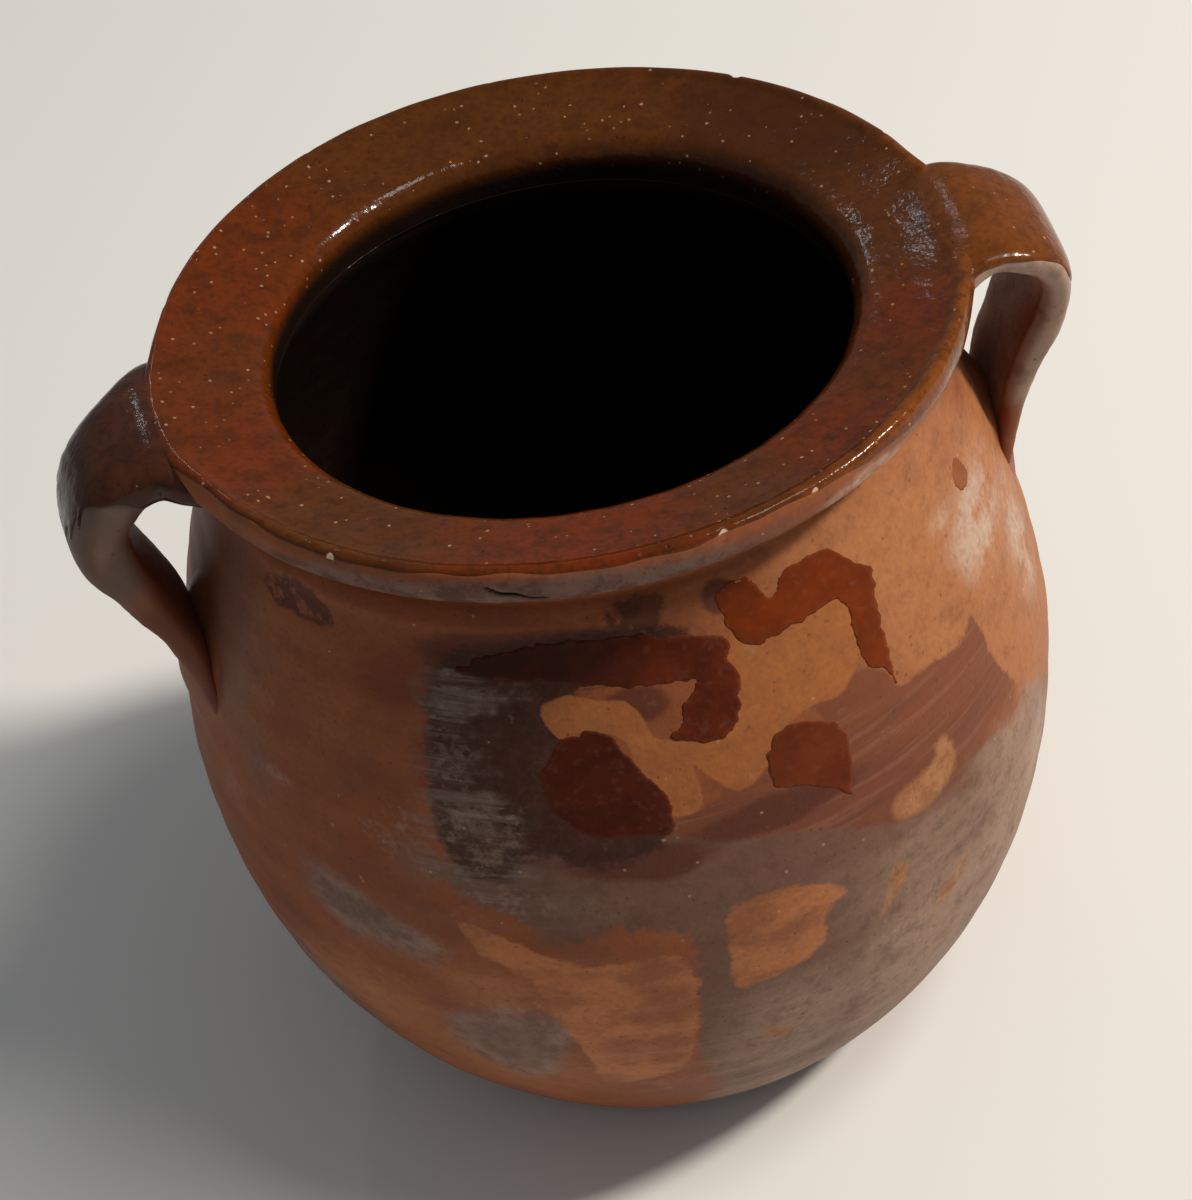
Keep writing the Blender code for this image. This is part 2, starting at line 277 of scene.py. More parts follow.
TAN_LEAVES = [
    [
        (-54, 99), (-53, 96.5), (-53, 94), (-54, 91.5), (-56, 90), (-59, 89), (-62, 89.5), (-64, 91),
        (-64, 93.5), (-62.5, 95), (-57.5, 95.5), (-56, 96.5), (-55.5, 99),
    ],
    [(-65.5, 82), (-63.5, 79), (-65, 74.5), (-68.5, 70), (-66.5, 76.5)],
    [(-55.5, 68), (-53, 70), (-56.5, 62), (-59.5, 61.5)],
]
EMBER_PATCHES = [
    [
        (-88, 88.5), (-82.5, 89), (-78, 88.5), (-71.5, 82), (-76, 80), (-76, 72.5), (-79, 69.5),
        (-88.5, 67.5), (-88, 78),
    ],
    [
        (-113, 80), (-100, 80), (-94, 81), (-93, 72), (-93.5, 59), (-96, 44), (-101, 40), (-108.5, 37),
        (-111, 66),
    ],
    [(-86, 54), (-81, 49), (-84, 47)],
    [(-122, 90), (-116, 87), (-108.5, 81), (-92.5, 74), (-92.5, 69), (-111.5, 75.5), (-119.5, 82)],
]
SOOT_PATCH = [
    (-121.5, 136), (-118, 138.5), (-108.5, 140), (-97, 141.5), (-86, 139.5), (-85.5, 136),
    (-99.5, 133), (-105.5, 129.5), (-104, 122), (-97, 116), (-92.5, 107), (-94, 103), (-104, 101),
    (-108, 104.5), (-111.5, 103.5), (-113.5, 98.5), (-118, 98.5), (-121.5, 103.5), (-122.5, 113),
    (-122.5, 130),
]
DARK_SCUFFS = [
    [(-154, 139), (-147.5, 143), (-142, 142.5), (-138, 139.5), (-138.5, 137), (-149.5, 136)],
    [(-96.5, 145.5), (-86.5, 145.5), (-88, 141), (-90.5, 138), (-95, 139.5)],
]
GREY_PATCHES = [
    [
        (-142.5, 91.5), (-135, 89.5), (-130, 87), (-123, 81.5), (-126.5, 78), (-137.5, 76.5),
        (-143.5, 82.5),
    ],
    [(-127, 59), (-123, 64.5), (-108, 64), (-111.5, 54.5), (-114, 41), (-120.5, 41), (-125.5, 47.5)],
    [(-156, 60), (-149, 56), (-141, 40), (-146, 34), (-154, 46)],
]
BRUSHED_ASH = [
    [
        (-122, 135), (-117, 136), (-108, 135), (-113, 132.5), (-118, 129), (-119, 123), (-114, 121.5),
        (-118.5, 119.5), (-118, 115.5), (-112.5, 114), (-110.5, 108), (-111.5, 103), (-110, 99),
        (-113.5, 93), (-121.5, 97), (-125, 101), (-123.5, 118),
    ],
]
SMOKED_BELLY = [
    (-124.5, 100.5), (-119, 94), (-113.5, 91.5), (-110.5, 84.5), (-105.5, 84.5), (-100.5, 89),
    (-92.5, 85.5), (-92, 80), (-92.5, 67.5), (-94, 47), (-97, 14), (-97, -5), (-20, -5), (-14, 40),
    (-23, 70), (-32, 86), (-52, 92), (-62, 96), (-69, 101), (-76.5, 106), (-90.5, 107), (-101.5, 105),
    (-114, 105.5),
]
SPILL_OUTLINES = {
    "shoulder_spill": [
        (-119.5, 135), (-114, 138.5), (-105, 140.5), (-98.5, 140.5), (-92.5, 140), (-85, 138),
        (-80.5, 136), (-79.5, 134), (-80.5, 132), (-79.5, 130), (-79.5, 128), (-81.5, 121.5),
        (-83.5, 120), (-86, 120), (-90.5, 122), (-90, 123), (-88.5, 123.5), (-88, 127), (-87, 128.5),
        (-85, 130.5), (-87, 131), (-93, 131.5), (-106, 134.5),
    ],
    "belly_spill": [
        (-104.5, 124.5), (-101, 126), (-98, 124.5), (-97, 122.5), (-94.5, 117), (-92, 113),
        (-92, 106.5), (-93, 105.5), (-98.5, 106.5), (-101.5, 106.5), (-104, 108.5), (-106.5, 111),
        (-107.5, 114.5), (-107.5, 119.5),
    ],
    "arch_run": [
        (-80.5, 142), (-79.5, 143), (-77.5, 144), (-75, 144), (-74, 142.5), (-72.5, 138),
        (-70.5, 140.5), (-69, 142), (-66.5, 142), (-62, 141.5), (-60.5, 140), (-58, 136), (-56, 134.5),
        (-55.5, 133.5), (-56.5, 132), (-58, 123.5), (-58.5, 113), (-59, 116.5), (-60, 118),
        (-62.5, 120.5), (-62, 132), (-63, 133.5), (-76, 132.5), (-78, 133.5), (-79, 135.5),
        (-80, 138.5), (-79.5, 140),
    ],
    "block_run": [
        (-79, 113.5), (-77.5, 117), (-74.5, 118.5), (-69, 115), (-67.5, 111.5), (-68.5, 104),
        (-69, 99.5), (-71.5, 103.5), (-75, 106.5), (-79, 108),
    ],
    "side_droplet": [
        (-31, 134.5), (-29.5, 133), (-29, 131), (-29.5, 129.5), (-31, 128.5), (-33, 129), (-34, 131),
        (-33, 133),
    ],
}

# Soft stains and painted light: (degrees, height, half width in millimetres, half height, strength)
STAINS_AND_PAINTED_LIGHT = {
    "orange": [
        (-45, 128, 26, 34, 1.0), (-30, 110, 30, 45, 1.0), (-58, 140, 22, 14, 0.8),
        (-5, 95, 60, 80, 0.8), (-75, 140, 22, 12, 0.35), (-140, 56, 26, 16, 0.7),
        (-122, 44, 30, 22, 0.6), (-118, 72, 16, 10, 0.5), (40, 80, 60, 60, 0.6), (90, 70, 60, 60, 0.4),
        (150, 100, 40, 40, 0.3),
    ],
    # The pale spots turn the smoked zone grey on the right of the front: smoke, and a painted sheen of
    # light on the wall.
    "pale": [
        (-36, 62, 34, 50, 1.0), (-58, 52, 30, 40, 0.95), (-80, 50, 22, 26, 0.75),
        (-62, 20, 60, 20, 0.8), (-104, 94, 14, 5, 0.4),
    ],
    # The soot bands at 143 to 146 mm, just under the rim's edge, are partly painted shade under the
    # rim.
    "soot": [
        (-107, 138.5, 27, 6, 0.9), (-94, 128.5, 9, 5, 0.8), (-102, 146, 46, 4, 0.32),
        (-93, 144, 6, 3, 0.5), (-79.5, 142, 4, 4, 0.8), (-97, 101, 22, 6, 0.75),
        (-80, 104, 24, 5, 0.8), (-120, 143, 24, 6, 0.34), (75, 110, 44, 26, 0.42),
        (140, 120, 34, 22, 0.38), (30, 40, 40, 30, 0.4), (170, 60, 30, 30, 0.4),
    ],
    # The rim's band below its glaze: smoke-stained grey with a painted sheen of light.
    "smoke_and_painted_sheen": [(-108, 155, 50, 6, 1.0)],
    "faded": [(-36, 88, 8, 7, 0.9), (-45, 87, 12, 6, 1.0), (-58, 86, 12, 4, 0.8)],
    "ruddy": [
        (-126, 132, 14, 7, 0.9), (-120, 119, 8, 15, 0.9), (-131, 112, 16, 7, 0.55),
        (-146, 118, 10, 9, 0.5), (-133, 96, 12, 5, 0.6), (-110, 84, 14, 5, 0.5),
        (-150, 72, 12, 8, 0.6),
    ],
    "haze": [
        (-160, 126, 12, 26, 0.85), (-152, 104, 10, 12, 0.6), (-126, 100, 8, 8, 0.8),
        (-140, 88, 14, 8, 0.6), (-146, 140, 16, 5, 0.5), (-106, 52, 18, 8, 0.3),
    ],
    "dusty": [
        (-116, 108, 9, 9, 1.2), (-127, 104, 9, 9, 0.8), (-147, 105, 5, 3, 1.0), (-112, 92, 18, 7, 0.8),
        (-136, 70, 14, 8, 0.5), (-150, 120, 10, 14, 0.4), (-116, 66, 16, 4, 0.7),
        (-100, 36, 30, 8, 0.7), (100, 90, 30, 20, 0.5),
    ],
    # The last chalk spot, along the foot on the right of the front, is a painted highlight of light
    # from the floor.
    "chalk_and_painted_highlight": [
        (-31, 122, 17, 11, 1.0), (-22, 106, 14, 16, 0.8), (-40, 130, 9, 5, 0.6),
        (-32, 70, 11, 20, 0.55), (-57, 155, 10, 3, 1.0), (-116, 109, 8, 8, 0.4), (60, 60, 30, 20, 0.4),
        (-160, 90, 14, 14, 0.3), (-147, 105, 6, 3, 0.6), (-64, 9, 24, 6, 0.5),
    ],
}
EDGED_MARKS = {
    "tan": [TAN_CLAY],
    "wash": [BROWN_WASH],
    "ember": EMBER_PATCHES,
    "leaf": TAN_LEAVES,
    "sooty": [SOOT_PATCH],
    "scuffed": DARK_SCUFFS,
    "mauve": GREY_PATCHES,
    "brushed": BRUSHED_ASH,
    "smoked": [SMOKED_BELLY],
}
# How far from its edge a mark is still measured, in millimetres
EDGE_REACH = 12


def flat_place(turn, height):
    """Where a wall point lies when the wall is rolled out flat, in millimetres."""
    return joined(turn * wall_radius(height), height)


def edge_distance(places, outline):
    """Distance from each flat place to a closed outline, positive inside."""
    nearest = np.full(len(places), np.inf)
    inside = np.zeros(len(places), bool)
    for start, end in zip(outline, np.roll(outline, -1, axis=0)):
        along = end - start
        share = np.clip(((places - start) @ along) / max(along @ along, 1e-9), 0, 1)
        nearest = np.minimum(nearest, np.hypot(*(places - start - share[:, None] * along).T))
        spans = (start[1] > places[:, 1]) != (end[1] > places[:, 1])
        rise = end[1] - start[1] if end[1] != start[1] else 1e-9
        crossing = start[0] + (places[:, 1] - start[1]) / rise * along[0]
        inside ^= spans & (places[:, 0] < crossing)
    return np.where(inside, nearest, -nearest)


def outline_on_wall(outline):
    """A closed outline rolled out flat, with its corners a little rounded."""
    degrees, height = np.asarray(outline, float).T
    points = flat_place(np.radians(degrees), height)
    for _ in range(2):
        after = np.roll(points, -1, axis=0)
        cut = [0.8 * points + 0.2 * after, 0.2 * points + 0.8 * after]
        points = np.stack(cut, axis=1).reshape(-1, 2)
    return points


def set_marks(item, marks, copies=1):
    """Give the points of a mesh their values under each mark's name."""
    for name, values in marks.items():
        layer = item.data.attributes.new(name, "FLOAT", "POINT")
        layer.data.foreach_set("value", np.tile(np.ravel(values), copies).astype(np.float32))


def mark_wall(item):
    """Give the wall its stains and painted light, as soft shares, and its edged marks, as distances
    from their edges.
    """
    places = np.empty(len(item.data.vertices) * 3)
    item.data.vertices.foreach_get("co", places)
    x, y, z = places.reshape(-1, 3).T / MM
    turn = np.arctan2(y, x)
    for name, spots in STAINS_AND_PAINTED_LIGHT.items():
        total = np.zeros(len(x))
        for degrees, height, half_width, half_height, strength in spots:
            across = turn_from(turn, degrees) * wall_radius(z) / half_width
            up = (z - height) / half_height
            total = np.maximum(total, strength * np.exp(-1.2 * (across ** 2 + up ** 2)))
        set_marks(item, {name: total})
    flat = flat_place(turn, z)
    for name, outlines in EDGED_MARKS.items():
        best = np.full(len(x), -float(EDGE_REACH))
        for outline in outlines:
            edge = outline_on_wall(outline)
            low = edge.min(axis=0) - EDGE_REACH
            high = edge.max(axis=0) + EDGE_REACH
            near = ((flat > low) & (flat < high)).all(axis=1)
            best[near] = np.maximum(best[near], edge_distance(flat[near], edge))
        set_marks(item, {name: best})


# The pieces

def wall_thickness(height, coat=0):
    """From the wall's outer face to its inner face, or to a coat on that, thicker towards the mouth."""
    return WALL + coat + (NECK_RADIUS - MOUTH_RADIUS - WALL) * shoulder_share(height) ** 2


def make_body(material):
    """The thrown wall with its floor: inside up to the neck, then down the outside to the foot."""
    steps = 540
    foot_round = 2.4
    inner_heights = np.linspace(FLOOR + 8, NECK_TOP, 22)
    inner_radius = wall_radius(inner_heights) - wall_thickness(inner_heights)
    inner = joined(inner_radius, inner_heights)
    corner = np.array([(0, FLOOR), (25, FLOOR), (44, FLOOR), (50, FLOOR + 1.6), (54, FLOOR + 4.4)])
    outer_heights = np.concatenate([
        np.linspace(NECK_TOP, 138, 40), np.linspace(137.4, 6, 170), np.linspace(5.4, 0, 10)])
    outer = joined(wall_radius(outer_heights), outer_heights)
    base = np.array([(46, 0), (40, 0.25), (20, 0.3), (0, 0.3)], float)
    profile = np.vstack([corner, inner, outer, base])
    first_outer = len(corner) + len(inner)
    last_outer = first_outer + len(outer)

    def shape(turn, radius, height, index):
        on_outside = (index >= first_outer) & (index < last_outer)
        skin = wall_surface(turn, height)
        low = np.clip(foot_round - height, 0, foot_round)
        skin = skin - (foot_round - np.sqrt(foot_round ** 2 - low ** 2))
        skin = skin + 0.5 * waves(11, turn, height, 6, 22, 0.4) * ramp(5, 0.5, height)
        return np.where(on_outside, skin, radius), height

    body = turned("thrown_body_clay", profile, steps, shape)
    mark_wall(body)
    finish_piece(body, material, "thrown_body")


def make_lining(material):
    """The coat inside, which thins out where it meets the rim's coat."""
    steps = 180
    coat = 0.9
    heights = np.linspace(FLOOR + 9, NECK_TOP + 2.4, 40)
    depth = wall_thickness(heights, coat) - coat * ramp(NECK_TOP - 0.5, NECK_TOP + 1, heights)
    wall = joined(wall_radius(heights) - depth, heights)
    floor = FLOOR + coat
    corner = np.array([(0, floor), (25, floor), (43, FLOOR + 1), (49, FLOOR + 2.6), (53, FLOOR + 5.2)])
    exposed = np.vstack([corner, wall])
    hidden = exposed[::-1] + np.array([0.5, -0.5])
    hidden[-1, 0] = 0
    profile = np.vstack([exposed, hidden])

    def shape(turn, radius, height, index):
        rings = 0.12 * np.sin(height * 0.7 + 0.8 * waves(21, turn, height, 3, 2, 0.02))
        ringed = (index < len(exposed)) & (radius > 30)
        return np.where(ringed, radius + rings, radius), height

    lining = turned("lining_glaze_coat", profile, steps, shape)
    finish_piece(lining, material, "lining_glaze")


# The rim's section from inside the mouth over the top to the neck, as (radius, height)
RIM_SKIN = [
    (50.2, 148.4), (50.1, 152), (50.7, 154.4), (52.3, 156.2), (54.8, 157.1), (60, 158.2), (65, 159.5),
    (66.8, 160), (68.4, 160.75), (69.6, 160.3), (70.2, 158.6), (70.1, 156.4), (69.6, 154.8),
    (68.4, 153.6), (66, 152.6), (63.6, 151), (62.2, 148.6),
]
# Chips in the rim's glaze: (degrees, radius, size, depth)
RIM_CHIPS = [
    (49.5, 69.6, 1.3, 0.4), (88.6, 70, 0.9, 0.3), (-32, 54.6, 0.9, 0.3), (-41, 54.6, 0.8, 0.25),
    (-156, 51.4, 1.1, 0.35), (-123.5, 55, 0.8, 0.25), (-79.5, 69.9, 1.0, 0.35), (-66, 69.9, 0.7, 0.25),
    (-131, 69.8, 0.7, 0.25), (160, 69.8, 1.0, 0.3), (120, 69.9, 0.8, 0.3), (20, 69.9, 0.8, 0.3),
]
# Where the rim's glaze pooled darker and greener: (degrees, half its turn, strength)
RIM_OLIVE = [
    (-133, 20, 0.9), (95, 42, 0.95), (36, 26, 1.8), (2, 22, 0.85), (178, 26, 0.42), (-72, 14, 0.5),
    (-40, 12, 0.4),
]
# The crack in the rim's edge, from and to degrees, with its fall for each degree
RIM_CRACK = {"start": -111, "end": -101, "depth": 0.7, "width": 0.34, "height": 158.4, "slope": -0.42}
# How far the rim is drawn out towards each handle, and the half turn that this takes, in degrees
RIM_DRAWN_OUT = 1.6
RIM_DRAWN_TURN = 13
RIM_STEPS = 640


def rim_lumps(turn, along):
    """Unevenness of the rim, in millimetres outwards."""
    slow = 0.14 * waves(31, turn, along, 5, 5, 0.05)
    fine = 0.05 * waves(33, turn, along, 9, 40, 0.5)
    return slow + fine


def normals(line):
    """Outward normals of a line of (radius, height)."""
    return perpendicular(np.gradient(line, axis=0))


def rim_skin():
    """The rim's section with even points, and the distance of each along it."""
    skin = even(spline(RIM_SKIN, 12), 240)
    return skin, distances(skin)


def rim_points(turn, along, sink):
    """Points on the rim at distances along its section, sunk below it, with their chips and crack."""
    skin, distance = rim_skin()
    radius, height, out, up = picked(along, distance, [*skin.T, *normals(skin).T])
    chipped = np.zeros_like(radius)
    lift = rim_lumps(turn, along) - sink
    for degrees, chip_radius, size, depth in RIM_CHIPS:
        gap = turn_from(turn, degrees)
        ragged = 1 + 0.3 * np.sin(5 * np.arctan2(height - 158, gap * 70) + degrees)
        reach = (gap * chip_radius) ** 2 + (radius - chip_radius) ** 2 + (height - 160) ** 2 * 0.3
        reach = np.sqrt(reach)
        share = np.clip(1 - reach / (size * ragged), 0, 1)
        lift = lift - depth * np.sqrt(share)
        chipped = np.maximum(chipped, share)
    crack_turn = degrees_from(turn, 0)
    in_crack = ramp(RIM_CRACK["start"], RIM_CRACK["start"] + 2, crack_turn)
    in_crack = in_crack * ramp(RIM_CRACK["end"], RIM_CRACK["end"] - 3, crack_turn)
    crack_height = RIM_CRACK["height"] + RIM_CRACK["slope"] * (crack_turn - RIM_CRACK["start"])
    crack_height = crack_height + 0.25 * np.sin(crack_turn * 1.7)
    crack = in_crack * np.exp(-((height - crack_height) / RIM_CRACK["width"]) ** 2) * (radius > 68)
    lift = lift - RIM_CRACK["depth"] * crack
    radius = radius + out * lift
    height = height + up * lift
    for strap in STRAPS.values():
        gap = degrees_from(turn, strap["turn"])
        drawn = np.exp(-(gap / RIM_DRAWN_TURN) ** 4)
        drawn = drawn * ramp(22, 27, along) * ramp(39, 33, along)
        radius = radius + RIM_DRAWN_OUT * drawn
        height = height - 0.4 * drawn
    return around_axis(turn, radius, height), chipped, crack


def make_rim(material):
    """The clay of the rim, under its glaze."""
    last = rim_skin()[1][-1]
    rows = np.concatenate([
        np.linspace(0, 26, 40), np.linspace(26.2, 36, 60), np.linspace(36.4, last, 14)])
    turn, along = grid(full_turn(RIM_STEPS), rows)
    points, _, crack = rim_points(turn, along, 0.14)
    faces = grid_faces(RIM_STEPS, len(rows), True, True, flip=True)
    ring = new_object("rim_ring_clay", points.reshape(-1, 3), faces)
    mark_wall(ring)
    set_marks(ring, {"crack": crack})
    finish_piece(ring, material, "rim_ring")


def make_rim_glaze(material):
    """The coat on the rim: up the throat, over the top and down the edge to an uneven line."""
    rows = 110
    turn, share = grid(full_turn(RIM_STEPS), np.linspace(0, 1, rows))
    limit = 27.4 + 5.4 * np.exp(-(turn_from(turn, -15) / 0.62) ** 2)
    limit = limit + 0.5 * waves(41, turn, 0, 6, 12, 0) + 0.22 * waves(43, turn, 0, 6, 40, 0)
    along = share * limit
    feather = 0.25 * ramp(1, 0, (limit - along) / 0.9)
    top = rim_points(turn, along, feather)[0]
    bottom = rim_points(turn, along, 0.8)[0]
    faces = grid_faces(RIM_STEPS, rows, wrap_rows=True, flip=True)
    coat = closed_shell("rim_glaze_coat", top, bottom, faces)
    # Its walls face inwards, which bends the smooth shading into a faint line of light in the throat
    for wall in coat.data.polygons[2 * len(faces):]:
        wall.flip()
    _, chipped, crack = rim_points(turn, along, 0)
    olive = np.zeros_like(turn)
    for degrees, half_turn, strength in RIM_OLIVE:
        gap = degrees_from(turn, degrees)
        olive = np.maximum(olive, strength * np.exp(-(gap / half_turn) ** 2))
    honey = ramp(23.2, 25, along) * np.exp(-(degrees_from(turn, -20) / 48) ** 4)
    throat = ramp(6.4, 2.4, along)
    marks = {"chip": chipped, "crack": crack, "throat": throat, "olive": olive, "honey": honey}
    set_marks(coat, marks, 2)
    finish_piece(coat, material, "rim_glaze")


# Each handle's turn in degrees, how square its section is, and its line of (radius, height, width,
# thickness, sideways shift) from inside the rim to inside the wall
STRAPS = {
    "left": {
        "turn": 188,
        "squareness": 3.0,
        "line": [
            (63, 153.6, 41, 6.6, -2.5), (69.5, 155.9, 36, 7.8, -2.5), (74, 156, 29, 9, -2),
            (79.6, 153.6, 23.5, 10.2, -1), (83.8, 148.6, 22.5, 10.6, -0.6),
            (85, 142.4, 22.5, 10.2, -0.4), (82.6, 134.8, 22.5, 9, 0), (79.2, 126.8, 22.5, 7.6, 0),
            (76.7, 118.6, 22.5, 6.4, 0), (75.8, 110.4, 23, 5, 0), (74.6, 102, 24, 3.4, 0),
        ],
    },
    "right": {
        "turn": -2.5,
        "squareness": 3.4,
        "line": [
            (63, 155.2, 38, 5.6, -0.5), (69.5, 158.1, 33, 5.6, -0.6), (74, 158.2, 29.5, 5.6, -0.8),
            (79.6, 156, 28, 5.8, -0.9), (83.2, 152.2, 27, 6.2, -0.8), (84.1, 147, 26, 6.4, -0.5),
            (82.4, 140.4, 25, 6.2, 0), (79.4, 133.2, 24, 5.8, 0), (76.8, 126, 24, 5.2, 0),
            (75, 119, 24, 4.4, 0), (74, 112, 24, 3.4, 0),
        ],
    },
}


def strap_points(side, along, around, growth):
    """Points on a strap: along runs 0 to 1 from rim to wall, around is 0 on the strap's outer face."""
    line = even(spline(STRAPS[side]["line"], 12), 240)
    columns = [*line.T, *normals(line[:, :2]).T]
    places = np.linspace(0, 1, len(line))
    radius, height, width, thickness, shift, out, up = picked(along, places, columns)
    power = 2 / STRAPS[side]["squareness"]
    thick = np.sign(np.cos(around)) * np.abs(np.cos(around)) ** power
    wide = np.sign(np.sin(around)) * np.abs(np.sin(around)) ** power
    seed = 51 if side == "left" else 61
    lumps = 0.15 * waves(seed, along * 9, np.cos(around), 6, 4, 1.5)
    lumps = lumps + 0.15 * waves(seed + 1, along * 9, np.sin(around), 6, 4, 1.5)
    lumps = lumps + 0.02 * waves(seed + 2, along * 30, np.sin(around), 8, 8, 5)
    half_thick = thickness / 2 + growth + lumps
    half_wide = width / 2 + growth + lumps
    radial = radius + out * thick * half_thick
    level = height + up * thick * half_thick
    sideways = wide * half_wide + shift
    azimuth = math.radians(STRAPS[side]["turn"])
    x = radial * math.cos(azimuth) - sideways * math.sin(azimuth)
    y = radial * math.sin(azimuth) + sideways * math.cos(azimuth)
    return joined(x, y, level) * MM


def mark_strap(item, side, along, around):
    """Shares of ash and of dark smoke on a strap, by where each point lies, and how pale its ash is; on
    the right strap's inner face the ash share is painted bounce light.
    """
    from_outside = np.abs((around + math.pi) % (2 * math.pi) - math.pi)
    inner = ramp(2.2, 2.6, from_outside)
    narrow_side = ramp(0.5, 0.8, from_outside) * (1 - inner)
    if side == "left":
        ash_and_painted_light = 0.85 * ramp(0.12, 0.24, along) * ramp(0.68, 0.44, along) * (1 - inner)
        smoke = np.maximum(0.8 * inner, 0.9 * ramp(0.4, 0.2, along))
        smoke = np.maximum(smoke, 0.7 * ramp(0.45, 0.62, along))
    else:
        ash_and_painted_light = np.maximum(narrow_side, (1 - inner) * ramp(0.3, 0.36, along))
        # On the right strap's inner face this share is painted bounce light from the wall, in the ash
        # colour.
        ash_and_painted_light = np.maximum(ash_and_painted_light * ramp(0.92, 0.7, along), 0.62 * inner)
        smoke = np.zeros_like(along)
    pallor = np.full(len(along), 0.1 if side == "left" else 1.0)
    set_marks(item, {"ash_and_painted_light": ash_and_painted_light, "smoke": smoke, "pallor": pallor})


def make_strap(side, material):
    rings = 120
    sides = 64
    along, around = grid(np.linspace(0, 1, rings), full_turn(sides))
    vertices = strap_points(side, along, around, 0).reshape(-1, 3)
    faces = grid_faces(rings, sides, wrap_columns=True)
    faces.append(list(range(sides))[::-1])
    faces.append(list(range((rings - 1) * sides, rings * sides)))
    strap = new_object(side + "_handle_strap", vertices, faces)
    mark_strap(strap, side, along.ravel(), around.ravel())
    finish_piece(strap, material, side + "_handle")


# Where each handle's glaze ends, as a share of the strap's length, and how far it reaches round the
# strap, in radians, at the rim and at that end
HANDLE_GLAZE = {"left": (0.37, 2.3, 0.75), "right": (0.43, 1.55, 1.1)}


def make_strap_glaze(side, material):
    """The coat on a handle's top and bend, thinning to nothing at its uneven edge."""
    end, first_reach, last_reach = HANDLE_GLAZE[side]
    rings = 90
    sides = 70
    share, across = grid(np.linspace(0, 1, rings), np.linspace(-1, 1, sides))
    seed = 71 if side == "left" else 81
    end_line = end + 0.018 * waves(seed, across * 3, 0, 6, 6, 0) - 0.05 * across ** 2
    reach_line = first_reach + (last_reach - first_reach) * ramp(0.5, 0.9, share)
    reach_line = reach_line + 0.04 * waves(seed + 1, share * 4, 0, 6, 8, 0)
    along = share * end_line
    around = across * reach_line
    taper = np.minimum((1 - share) * 40, (1 - np.abs(across)) * 14)
    growth = -0.15 + 0.42 * (1 - np.exp(-taper / 0.8))
    top = strap_points(side, along, around, growth)
    bottom = strap_points(side, along, around, -0.6)
    coat = closed_shell(side + "_handle_glaze_coat", top, bottom, grid_faces(rings, sides))
    finish_piece(coat, material, side + "_handle_glaze")


def make_mound(node, surface, half_across, half_up, height, material):
    """A smear of luting clay: a low mound on a surface, sinking below it all round."""
    rings = 36
    sides = 72
    share, angle = grid(np.linspace(0, 1, rings), full_turn(sides))
    ragged = 1 + 0.06 * waves(91, angle, 0, 5, 6, 0)
    across = half_across * share * ragged * np.cos(angle)
    up = half_up * share * ragged * np.sin(angle)
    lift = height * (1 - share ** 2) ** 2 - 0.25 * share ** 2
    top = surface(across, up, lift)
    under = surface(across, up, np.full_like(lift, -0.8))
    skins = [np.vstack([skin[1:].reshape(-1, 3), skin[:1, 0]]) for skin in (top, under)]
    middle = (rings - 1) * sides
    faces = grid_faces(rings - 1, sides, wrap_columns=True, flip=True)
    faces += [[here, (here + 1) % sides, middle] for here in range(sides)]
    lute = closed_shell(node + "_smear", *skins, faces)
    finish_piece(lute, material, node)


def make_lutes(side, material, glaze):
    """The smears round a handle's ends: bare clay on the wall, and glazed clay under the rim's edge."""
    azimuth = math.radians(STRAPS[side]["turn"])
    foot_height = {"left": 110, "right": 117}[side]
    root_along = 32.5

    def foot(across, up, lift):
        return on_wall(azimuth + across / 76, foot_height + up, lift)

    def root(across, up, lift):
        return rim_points(azimuth + across / 70, root_along - up, -lift)[0]

    make_mound(side + "_lower_lute", foot, 15, 16, 3.2, material)
    make_mound(side + "_upper_lute", root, 20, 5.5, 2.2, glaze)


# Films: the distance between their points, and their thickness at the edge and further in
FILM_SPACING = 0.5
FILM_EDGE = 0.006
FILM_RISE = 0.014


def film_edge(outline):
    """The edge of a film, rolled out flat: the outline with small seeded unevenness."""
    edge = outline_on_wall(outline)
    closed = np.vstack([edge, edge[:1]])
    edge = even(closed, int(distances(closed)[-1] / FILM_SPACING))[:-1]
    draw = np.random.default_rng(len(outline))
    ragged = draw.normal(0, 0.2, len(edge))
    ragged = (ragged + np.roll(ragged, 1) + np.roll(ragged, 2)) / 2
    along = np.roll(edge, -1, axis=0) - np.roll(edge, 1, axis=0)
    return edge + ragged[:, None] * perpendicular(along)


def make_spill(name, outline, material):
    """A thin film of glaze on the wall, closed below the wall's face."""
    edge = film_edge(outline)
    low = edge.min(axis=0)
    high = edge.max(axis=0)
    columns, levels = (np.arange(*limits, FILM_SPACING) for limits in zip(low, high))
    across, up = np.meshgrid(columns, levels)
    inner = joined(across.ravel(), up.ravel())
    inner[:, 0] += np.where((np.arange(len(inner)) // across.shape[1]) % 2, FILM_SPACING / 2, 0)
    inner = inner[edge_distance(inner, edge) > FILM_SPACING / 2]
    places = np.vstack([edge, inner])
    loop = list(range(len(edge)))
    result = geometry.delaunay_2d_cdt([Vector(place) for place in places], [], [loop], 1, 0.0001)
    flat_points = np.array([tuple(point) for point in result[0]])
    triangles = [list(face) for face in result[2]]
    height = flat_points[:, 1]
    turn = flat_points[:, 0] / wall_radius(height)
    depth = np.maximum(edge_distance(flat_points, edge), 0)
    top = on_wall(turn, height, FILM_EDGE + FILM_RISE * ramp(0, 1.2, depth))
    bottom = on_wall(turn, height, -0.5)
    film = closed_shell(name + "_film", top, bottom, triangles)
    for face in film.data.polygons[len(triangles):]:
        face.use_smooth = False
    sooted = ramp(-80, -114, np.degrees(turn)) * ramp(124, 131, height)
    set_marks(film, {"edge": depth, "sooted": sooted}, 2)
    finish_piece(film, material, name)


# Materials

